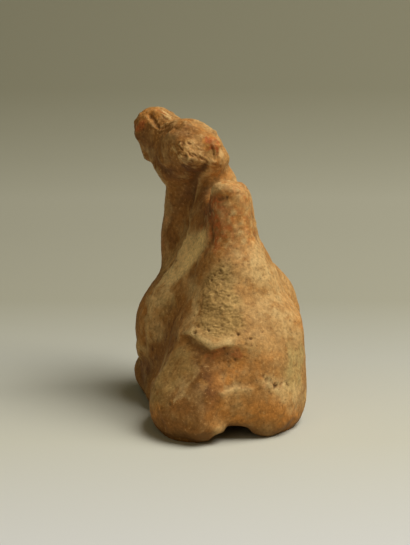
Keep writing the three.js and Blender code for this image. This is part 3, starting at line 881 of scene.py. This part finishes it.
class Recipe:
    """A material's nodes, put together from sums and named settings."""

    def __init__(self, name):
        self.material = bpy.data.materials.new(name)
        self.material.use_nodes = True
        self.tree = self.material.node_tree
        self.tree.nodes.clear()

    def node(self, kind, settings=None, inputs=None, output=0):
        """Adds a node, makes its settings, then its sockets' values and links, and gives an output."""
        made = self.tree.nodes.new(kind)
        for name, value in (settings or {}).items():
            if name == "stops":
                self.set_stops(made.color_ramp, value)
            else:
                setattr(made, name, value)
        for name, value in (inputs or {}).items():
            if isinstance(value, Wire):
                self.tree.links.new(value.socket, made.inputs[name])
            else:
                made.inputs[name].default_value = value
        return Wire(self, made.outputs[output])

    def set_stops(self, ramp, stops):
        """Gives a ramp its places and colours."""
        while len(ramp.elements) < len(stops):
            ramp.elements.new(1)
        for element, (place, colour) in zip(ramp.elements, stops):
            element.position = place
            element.color = tuple(colour)

    def noise(self, where, size, detail=2.0, roughness=0.5):
        """Cloudy values from 0 to 1 with lumps of about that size in metres."""
        inputs = {"Vector": where, "Scale": 1 / size, "Detail": detail, "Roughness": roughness}
        return self.node("ShaderNodeTexNoise", None, inputs)

    def between(self, value, low, high):
        """A value taken from low and high to 0 and 1, with a smooth rise."""
        inputs = {"Value": value, "From Min": low, "From Max": high}
        return self.node("ShaderNodeMapRange", {"interpolation_type": "SMOOTHSTEP"}, inputs)

    def tint(self, name):
        """One of the tints that the skin carries."""
        return self.node("ShaderNodeAttribute", {"attribute_name": name}, None, "Fac")

    def mixed(self, amount, first, second, blend="MIX"):
        """Two colours mixed by an amount."""
        settings = {"data_type": "RGBA", "blend_type": blend}
        return self.node("ShaderNodeMix", settings, {0: amount, 6: first, 7: second}, 2)

    def finish(self, **inputs):
        """The surface itself, joined to the material's output."""
        named = {name.replace("_", " "): value for name, value in inputs.items()}
        surface = self.node("ShaderNodeBsdfPrincipled", None, named)
        output = self.tree.nodes.new("ShaderNodeOutputMaterial")
        self.tree.links.new(surface.socket, output.inputs["Surface"])
        return self.material


def fired_clay(settings):
    """Unglazed fired clay: mottled buff and brown, pale where worn, dark in its pits, with the painted light
    and shade that the skin's tints carry.
    """
    recipe = Recipe("fired_clay")
    where = recipe.node("ShaderNodeTexCoord", None, None, "Object")
    broad = recipe.noise(where, 0.016, 3)
    cloud = recipe.noise(where, 0.0042, 4, 0.6)
    patch = recipe.noise(where, 0.0075, 5, 0.58)
    mottle = recipe.noise(where, 0.0022, 2, 0.6)
    speck = recipe.noise(where, 0.0011, 3, 0.6)
    grit = recipe.noise(where, 0.0006, 2)
    browned = recipe.between(broad, 0.35, 0.65) * 0.4 + recipe.tint("brown") * 0.8 + 0.1
    colour = recipe.mixed(browned, tuple(settings.buff), tuple(settings.brown))
    colour = recipe.mixed(recipe.between(cloud, 0.5, 0.7) * 0.35, colour, tuple(settings.orange))
    colour = recipe.mixed(recipe.between(patch, 0.50, 0.64) * 0.18, colour, tuple(settings.pale))
    colour = recipe.mixed(recipe.between(1 - patch, 0.50, 0.64) * 0.25, colour, tuple(settings.brown))
    # Some of these tints carry painted light and shade as well as the clay's own colours.
    for name, clouds, low, high in (
        ("dark", cloud, 0.3, 0.5),
        ("orange", cloud, 0.34, 0.5),
        ("red", mottle, 0.34, 0.5),
        ("pale", patch, 0.28, 0.46),
        ("grey", cloud, 0.2, 0.45),
        ("chalk", patch, 0.2, 0.4),
    ):
        amount = recipe.tint(name) * recipe.between(clouds, low, high)
        colour = recipe.mixed(amount, colour, tuple(getattr(settings, name)))
    colour = recipe.mixed(recipe.tint("worn") * 0.4, colour, tuple(settings.pale))
    colour = recipe.mixed(recipe.between(speck, 0.60, 0.72) * 0.3, colour, tuple(settings.pale))
    colour = recipe.mixed(recipe.between(1 - speck, 0.62, 0.72) * 0.5, colour, tuple(settings.dark))
    shade = recipe.between(mottle, 0.3, 0.7) * 0.24 + recipe.between(speck, 0.3, 0.7) * 0.2 + 0.76
    colour = recipe.mixed(1.0, colour, shade, "MULTIPLY")
    # Dirt, with painted shade, in the pits, creases, low relief and the hollow underside.
    colour = recipe.mixed(recipe.tint("dirt") * 0.75, colour, tuple(settings.dirt))
    roughness = 0.66 + recipe.tint("rough") * 0.2 + grit * 0.12
    height = grit * 0.5 + speck
    normal = recipe.node("ShaderNodeBump", None, {"Height": height, "Strength": 0.6, "Distance": 0.0003})
    return recipe.finish(Base_Color=colour, Roughness=roughness, Specular_IOR_Level=0.15, Normal=normal)


def backdrop_paper(settings):
    """Smooth paper, pale at the front, painted darker, greyer and greener as it runs back and sweeps up: a
    painted shadow under the figure and painted shade where the light falls off.
    """
    recipe = Recipe("backdrop_paper")
    where = recipe.node("ShaderNodeTexCoord", None, None, "Object")
    run = recipe.node("ShaderNodeSeparateXYZ", None, {0: where}, "Y")
    end = PAPER_CHANGES + settings.paper_reach
    inputs = {"Value": run, "From Min": PAPER_CHANGES, "From Max": end}
    share = recipe.node("ShaderNodeMapRange", None, inputs)
    stops = (
        (0.0, settings.floor_colour),
        (0.15, settings.under_colour),
        (0.26, settings.behind_colour),
        (0.37, settings.sweep_colour),
        (0.64, settings.sweep_colour),
        (0.86, settings.backdrop_colour),
        (1.0, settings.backdrop_colour),
    )
    colour = recipe.node("ShaderNodeValToRGB", {"stops": stops}, {"Fac": share})
    return recipe.finish(Base_Color=colour, Roughness=0.85)


class ClaySkinSettings(bpy.types.PropertyGroup):
    """Sizes of the fine mesh of the clay."""

    mesh_step: bpy.props.FloatProperty(
        name="Mesh step", description="Size of a face of the fine mesh", default=0.00075, unit="LENGTH"
    )
    facet_reach: bpy.props.FloatProperty(
        name="Facet reach", description="How far facets are smoothed, in millimetres", default=2.0
    )
    form_reach: bpy.props.FloatProperty(
        name="Form reach", description="Forms broader than this many millimetres are kept", default=4.0
    )


def colour_property(name, description, default):
    """A colour that a user can set."""
    return bpy.props.FloatVectorProperty(
        name=name, description=description, default=(*default, 1.0), size=4, subtype="COLOR", min=0, max=1
    )


class ClayColourSettings(bpy.types.PropertyGroup):
    """Colours of the fired clay."""

    buff: colour_property("Buff", "The clay's main colour", (0.50, 0.262, 0.08))
    # Brown is also painted shade: on the side turned from the key light, under the ledge, low on the haunch,
    # on the shaded head and hump, and under the brow.
    brown: colour_property("Brown", "The browner clouds of the clay", (0.33, 0.143, 0.032))
    # Pale is also painted light: on the ledge's lit top, the foot's lit edge and facet, the hump's lit cap,
    # the strip, and the lit edges of the neck and flank.
    pale: colour_property("Pale", "Worn and chalky clay", (0.66, 0.435, 0.175))
    # Chalk is also painted light: the strip's lit edge, the ledge's lit lip and the lower strip; over the
    # right foot it is chalky clay.
    chalk: colour_property("Chalk", "Clay with a chalky bloom", (0.95, 0.64, 0.255))
    # Orange is also painted light on the right foot's lit facet.
    orange: colour_property("Orange", "Strongly fired clay", (0.50, 0.205, 0.042))
    # Red also lies on the hump's shaded left side, partly the clay's own colour and partly painted shade.
    red: colour_property("Red", "Iron-red streaks", (0.43, 0.12, 0.028))
    # Dark is mostly painted shade: beside the neck, mane and haunch edges, on the mane, neck, flank, low
    # haunch, the hump's left side and the muzzle's left side, under the ledge, brow, jaw and ear, and in the
    # creases of the broken head; it also gives the clay's own dark specks and darkens the crack.
    dark: colour_property("Dark", "Dark stains", (0.17, 0.066, 0.018))
    grey: colour_property("Grey", "The broken clay's greyish cream", (0.46, 0.305, 0.105))
    # Dirt is also painted shade: it darkens the pits, grooves, creases and low relief, and the inside of the
    # hollow underside.
    dirt: colour_property("Dirt", "Earth left in pits and grooves", (0.13, 0.065, 0.022))


class StageSettings(bpy.types.PropertyGroup):
    """The floor, the lights and the camera."""

    floor_colour: colour_property("Floor colour", "The paper in front of the figure", (0.665, 0.665, 0.65))
    # From under the figure back, the paper's colours are painted shade: a painted shadow under the figure,
    # then darker and greener where the light falls off behind and up the sweep.
    under_colour: colour_property("Under colour", "The paper under the figure", (0.56, 0.546, 0.445))
    behind_colour: colour_property("Behind colour", "The paper just behind the figure", (0.48, 0.475, 0.40))
    sweep_colour: colour_property("Sweep colour", "The paper where it starts to rise", (0.385, 0.371, 0.278))
    backdrop_colour: colour_property("Backdrop colour", "The paper behind, high up", (0.248, 0.235, 0.155))
    paper_reach: bpy.props.FloatProperty(
        name="Paper reach",
        description="Length over which the paper's colour changes",
        default=1.0,
        unit="LENGTH",
    )
    key_power: bpy.props.FloatProperty(
        name="Key light", description="Power of the light from the right", default=23.2, subtype="POWER"
    )
    fill_power: bpy.props.FloatProperty(
        name="Fill light",
        description="Power of the light from the camera's left",
        default=1.6,
        subtype="POWER",
    )
    room_colour: colour_property("Room colour", "The light that comes from all round", (1.0, 0.88, 0.50))
    room_strength: bpy.props.FloatProperty(
        name="Room strength", description="Strength of the light from all round", default=0.105
    )


class CAMEL_OT_clay_figure(bpy.types.Operator):
    """Makes the fine clay skin over the solid, with its relief and its colours"""

    bl_idname = "camel.clay_figure"
    bl_label = "Clay figure"

    def execute(self, context):
        settings = context.scene.camel_skin
        figure = bpy.data.objects.new("fired_clay_figure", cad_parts[SOLID].data.copy())
        context.scene.collection.objects.link(figure)
        even = figure.modifiers.new("even mesh", "REMESH")
        even.mode = "VOXEL"
        even.voxel_size = settings.mesh_step
        depsgraph = context.evaluated_depsgraph_get()
        mesh = bpy.data.meshes.new_from_object(figure.evaluated_get(depsgraph))
        figure.modifiers.clear()
        figure.data = mesh
        skin = Skin(mesh)
        skin.round_off(settings.facet_reach, settings.form_reach)
        skin.look()
        fill_valley(skin)
        shift_places(skin)
        skin.look()
        skin.set_points()
        skin = split_fine_places(skin)
        scatter = Scatter(CLAY_SEED)
        work_body(skin, scatter)
        break_rump(skin, scatter)
        set_edges(skin, scatter)
        cut_lines(skin, scatter)
        break_head(skin, scatter)
        draw_face(skin)
        pit(skin, scatter)
        colour_places(skin, scatter)
        find_hollows(skin)
        skin.carve()
        skin.set_points()
        skin.set_tints()
        mesh.shade_smooth()
        mesh.materials.clear()
        mesh.materials.append(fired_clay(context.scene.camel_colours))
        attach(figure, BODY)
        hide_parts(SOLID)
        return {"FINISHED"}


def sweep_mesh(name, half_width, near, far, radius, height):
    """A floor that runs back, curves up and stands as a backdrop, as one sheet."""
    turns = np.linspace(0, np.pi / 2, 25)
    profile = [(-near, 0.0)]
    profile += [(far + radius * np.sin(turn), radius * (1 - np.cos(turn))) for turn in turns]
    profile.append((far + radius, height))
    points = [(x, y, z) for y, z in profile for x in (-half_width, half_width)]
    faces = [(2 * n, 2 * n + 1, 2 * n + 3, 2 * n + 2) for n in range(len(profile) - 1)]
    mesh = bpy.data.meshes.new(name)
    mesh.from_pydata(points, [], faces)
    mesh.shade_smooth()
    return mesh


def aimed(thing, place, target):
    """Puts a light or the camera at a place, looking at the target."""
    thing.location = place
    thing.rotation_euler = (Vector(target) - Vector(place)).to_track_quat("-Z", "Y").to_euler()


def from_view(azimuth, elevation, distance, target):
    """A place that looks at the target along an azimuth and down an elevation, in degrees."""
    turn, tilt = np.radians(azimuth), np.radians(elevation)
    back = np.array([np.sin(turn) * np.cos(tilt), -np.cos(turn) * np.cos(tilt), np.sin(tilt)])
    return tuple(np.array(target) + distance * back)


class CAMEL_OT_stage(bpy.types.Operator):
    """Sets up the pale floor, the studio lights and the camera"""

    bl_idname = "camel.stage"
    bl_label = "Stage"

    def execute(self, context):
        scene = context.scene
        settings = scene.camel_stage
        target = tuple(np.array(VIEW_TARGET) * MM)
        paper = bpy.data.objects.new("floor_and_backdrop", sweep_mesh("sweep", **PAPER))
        paper.data.materials.append(backdrop_paper(settings))
        paper.rotation_euler.z = np.radians(VIEW_AZIMUTH)
        scene.collection.objects.link(paper)
        for placed, power in ((KEY_LIGHT, settings.key_power), (FILL_LIGHT, settings.fill_power)):
            name, azimuth, elevation, distance, size, colour = placed
            light = bpy.data.lights.new(name, "AREA")
            light.energy = power
            light.shape = "SQUARE"
            light.size = size
            light.color = colour
            lamp = bpy.data.objects.new(name, light)
            scene.collection.objects.link(lamp)
            aimed(lamp, from_view(azimuth, elevation, distance, target), target)
        world = bpy.data.worlds.new("soft_room")
        world.use_nodes = True
        inputs = world.node_tree.nodes["Background"].inputs
        inputs["Color"].default_value = tuple(settings.room_colour)
        inputs["Strength"].default_value = settings.room_strength
        scene.world = world
        lens = bpy.data.cameras.new("camera")
        lens.sensor_fit = "VERTICAL"
        lens.sensor_height = SENSOR_HEIGHT
        lens.lens = SENSOR_HEIGHT * FOCAL_PIXELS / FRAME_HEIGHT
        camera = bpy.data.objects.new("camera", lens)
        scene.collection.objects.link(camera)
        aimed(camera, from_view(VIEW_AZIMUTH, VIEW_ELEVATION, VIEW_DISTANCE * MM, target), target)
        scene.camera = camera
        scene.view_settings.view_transform = "Standard"
        return {"FINISHED"}


class CAMEL_PT_sidebar(bpy.types.Panel):
    """Lists what can be made and the settings of each"""

    bl_label = "Terracotta Camel"
    bl_idname = "CAMEL_PT_sidebar"
    bl_space_type = "VIEW_3D"
    bl_region_type = "UI"
    bl_category = "Camel"

    def draw(self, context):
        for operator, group in (
            (CAMEL_OT_clay_figure, context.scene.camel_skin),
            (None, context.scene.camel_colours),
            (CAMEL_OT_stage, context.scene.camel_stage),
        ):
            box = self.layout.box()
            if operator:
                box.operator(operator.bl_idname)
            for name in group.__annotations__:
                box.prop(group, name)


CLASSES = (
    ClaySkinSettings,
    ClayColourSettings,
    StageSettings,
    CAMEL_OT_clay_figure,
    CAMEL_OT_stage,
    CAMEL_PT_sidebar,
)


def register():
    for kind in CLASSES:
        bpy.utils.register_class(kind)
    bpy.types.Scene.camel_skin = bpy.props.PointerProperty(type=ClaySkinSettings)
    bpy.types.Scene.camel_colours = bpy.props.PointerProperty(type=ClayColourSettings)
    bpy.types.Scene.camel_stage = bpy.props.PointerProperty(type=StageSettings)


def unregister():
    del bpy.types.Scene.camel_stage
    del bpy.types.Scene.camel_colours
    del bpy.types.Scene.camel_skin
    for kind in reversed(CLASSES):
        bpy.utils.unregister_class(kind)


def main():
    register()
    bpy.ops.camel.stage()
    bpy.ops.camel.clay_figure()


if __name__ == "__main__":
    main()
